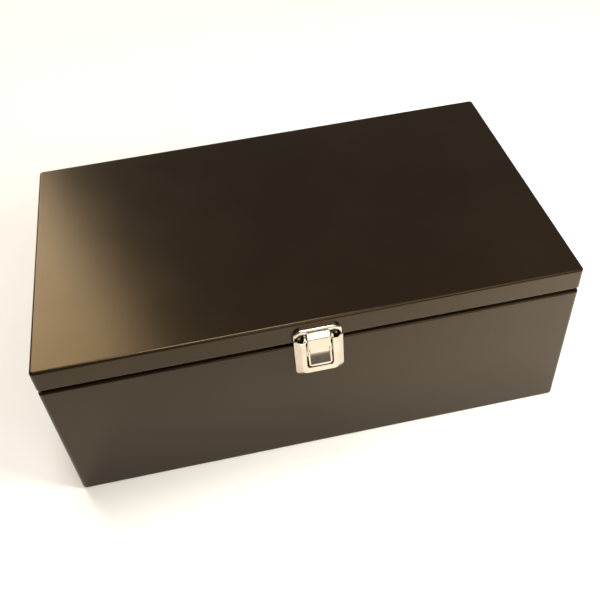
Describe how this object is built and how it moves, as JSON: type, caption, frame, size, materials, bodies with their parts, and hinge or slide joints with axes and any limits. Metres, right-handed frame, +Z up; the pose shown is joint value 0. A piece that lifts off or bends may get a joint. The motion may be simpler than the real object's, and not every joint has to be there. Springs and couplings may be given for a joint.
{
  "type": "lunch box",
  "caption": "Rectangular black steel lunch box with a hinged flat lid, back hinges, and a nickel-plated draw latch at the centre of the front.",
  "frame": {"origin": "middle of the flat underside, centred between the side walls and between the front and back walls", "axes": "+X to the right seen from the front, +Y towards the hinges at the back, +Z up"},
  "size_m": [0.32, 0.2024, 0.118],
  "materials": {
    "black_powder_coat": "satin black powder coat with a fine orange peel",
    "nickel_plate": "bright nickel plate on pressed steel, warm tone",
    "bright_steel": "plated steel pins and rivets",
    "black_rubber": "matt moulded rubber"
  },
  "bodies": {
    "base": {"base_shell": "black_powder_coat", "rim_bumpers": "black_rubber", "hinge_left_base_leaf": "nickel_plate", "hinge_right_base_leaf": "nickel_plate", "hinge_left_pin": "bright_steel", "hinge_right_pin": "bright_steel", "hinge_base_rivets": "bright_steel", "latch_frame": "nickel_plate", "latch_backplate": "nickel_plate", "latch_rivets": "bright_steel", "latch_lever_pin": "bright_steel"},
    "lid": {"lid_shell": "black_powder_coat", "hinge_left_lid_leaf": "nickel_plate", "hinge_right_lid_leaf": "nickel_plate", "hinge_lid_rivets": "bright_steel", "catch_plate": "nickel_plate", "catch_rivets": "bright_steel"},
    "latch_lever": {"latch_lever": "nickel_plate", "latch_hook_pin": "bright_steel"},
    "latch_hook": {"latch_draw_hook": "nickel_plate"}
  },
  "joints": [
    {"name": "lid_hinge", "type": "hinge", "parent": "base", "child": "lid", "pos_m": [0, 0.0975, 0.1013], "axis": [-1, 0, 0], "range_deg": [0, 195]},
    {"name": "lever_pivot", "type": "hinge", "parent": "base", "child": "latch_lever", "pos_m": [0, -0.0986, 0.1056], "axis": [-1, 0, 0], "range_deg": [0, 90]},
    {"name": "hook_pivot", "type": "hinge", "parent": "latch_lever", "child": "latch_hook", "pos_m": [0, -0.099, 0.0996], "axis": [-1, 0, 0], "range_deg": [-90, 0]}
  ],
  "couplings": [
    {"joint": "hook_pivot", "follows": "lever_pivot", "ratio": -1}
  ]
}
